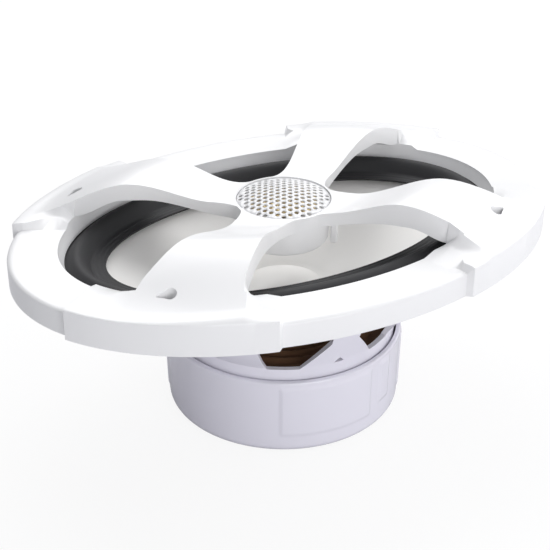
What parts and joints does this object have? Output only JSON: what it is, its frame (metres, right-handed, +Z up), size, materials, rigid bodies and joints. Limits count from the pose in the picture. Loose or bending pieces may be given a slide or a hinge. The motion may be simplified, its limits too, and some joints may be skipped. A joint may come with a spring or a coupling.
{
  "type": "coaxial car speaker",
  "caption": "Oval coaxial car speaker with a white arched grille, a perforated tweeter guard, a rubber surround, a windowed basket and a booted magnet.",
  "frame": {"origin": "centre of the magnet boot's bottom face, on the axis of both voice coils", "axes": "+Z up the voice coil axis towards the listener, X along the long axis of the oval, Y along the short axis, with the terminals on the +Y side"},
  "size_m": [0.264, 0.182, 0.114],
  "materials": {
    "white_plastic": "satin",
    "basket_plastic": "satin",
    "boot_plastic": "gloss",
    "cone_polymer": "satin",
    "mesh_paint": "satin",
    "surround_rubber": "satin",
    "gasket_foam": "matte",
    "spider_cloth": "matte",
    "plated_steel": "satin",
    "ferrite": "matte",
    "magnet_plating": "gloss",
    "copper_wire": "satin",
    "coil_former": "satin",
    "dome_film": "gloss",
    "terminal_brass": "satin",
    "terminal_board": "matte",
    "capacitor_sleeve": "gloss",
    "tinsel_braid": "satin"
  },
  "bodies": {
    "frame": {"grille": "white_plastic", "tweeter_mesh": "mesh_paint", "tweeter_cup": "white_plastic", "tweeter_lead_guide": "white_plastic", "tweeter_face_plate": "white_plastic", "tweeter_yoke": "plated_steel", "tweeter_magnet": "magnet_plating", "tweeter_pole_disc": "plated_steel", "tweeter_surround": "dome_film", "crossover_capacitor": "capacitor_sleeve", "basket": "basket_plastic", "surround": "surround_rubber", "mounting_gasket": "gasket_foam", "spider": "spider_cloth", "front_plate": "plated_steel", "ferrite_magnet": "ferrite", "back_plate_and_pole": "plated_steel", "magnet_boot": "boot_plastic", "terminal_board": "terminal_board", "positive_terminal": "terminal_brass", "negative_terminal": "terminal_brass", "rivet_positive": "terminal_brass", "rivet_negative": "terminal_brass", "tinsel_lead_positive": "tinsel_braid", "tinsel_lead_negative": "tinsel_braid"},
    "cone_assembly": {"woofer_cone": "cone_polymer", "dust_cap": "cone_polymer", "voice_coil_former": "coil_former", "voice_coil": "copper_wire"},
    "tweeter_diaphragm": {"tweeter_dome": "dome_film", "tweeter_coil": "copper_wire"}
  },
  "joints": [
    {"name": "cone_travel", "type": "slide", "parent": "frame", "child": "cone_assembly", "axis": [0, 0, 1], "range_m": [-0.005, 0.005], "stiffness_N_per_m": 2000, "deforming": ["surround", "spider", "tinsel_lead_positive", "tinsel_lead_negative"]},
    {"name": "tweeter_travel", "type": "slide", "parent": "frame", "child": "tweeter_diaphragm", "axis": [0, 0, 1], "range_m": [-0.0003, 0.0003], "stiffness_N_per_m": 2500, "deforming": ["tweeter_surround"]}
  ]
}
